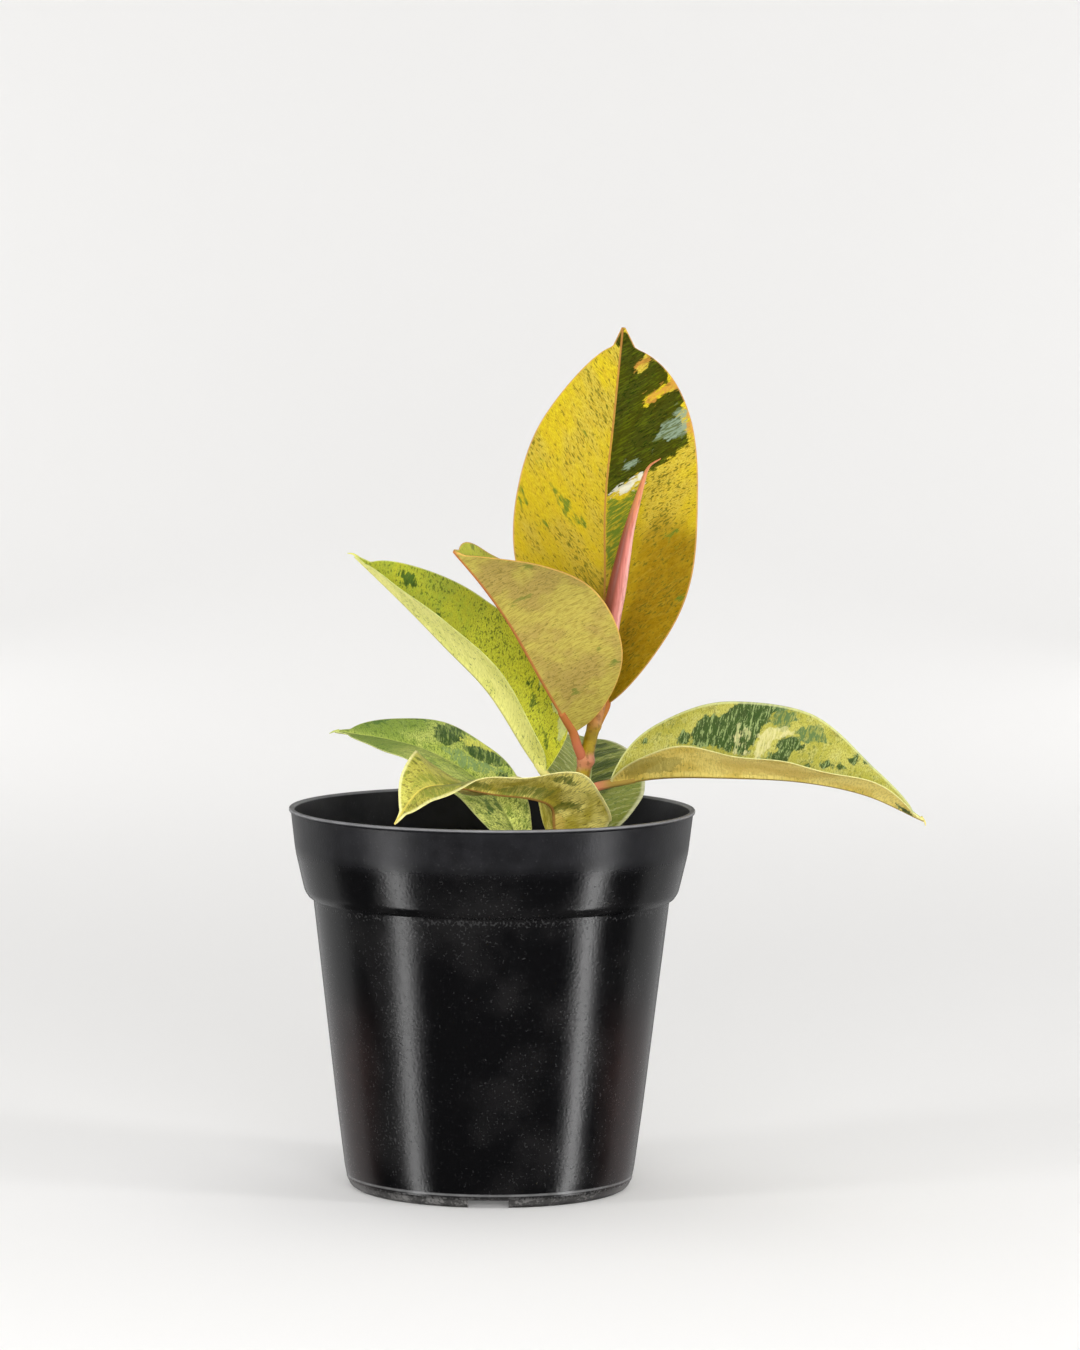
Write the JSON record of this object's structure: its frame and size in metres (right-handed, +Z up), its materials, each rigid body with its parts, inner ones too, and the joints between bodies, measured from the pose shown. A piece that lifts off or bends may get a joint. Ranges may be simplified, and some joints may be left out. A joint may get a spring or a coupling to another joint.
{
  "type": "potted rubber plant",
  "caption": "Young variegated rubber plant with broad folded leaves and a rolled new leaf, growing from potting mix in a round tapered nursery pot.",
  "frame": {"origin": "centre of the pot's flat underside, on the surface that it stands on", "axes": "+Z up along the pot's axis; -Y towards the front of the plant as pictured; +X to the right seen from the front"},
  "size_m": [0.2336, 0.1769, 0.318],
  "materials": {
    "pot_plastic": "satin black, dusty and scuffed",
    "potting_mix": "loose dark bark and coir mix",
    "stem_bark": "olive brown young bark",
    "sheath_tissue": "smooth salmon pink",
    "leaf_gold": "semi-gloss golden yellow with dark green patches",
    "leaf_green": "semi-gloss yellow green with dark green specks"
  },
  "bodies": {
    "root": {"pot": "pot_plastic", "potting_soil": "potting_mix", "stem": "stem_bark", "new_leaf_sheath": "sheath_tissue", "leaf_upright": "leaf_gold", "leaf_folded": "leaf_gold", "leaf_left_arching": "leaf_green", "leaf_left_low": "leaf_green", "leaf_right": "leaf_gold", "leaf_front": "leaf_gold", "leaf_back": "leaf_green"}
  },
  "joints": []
}
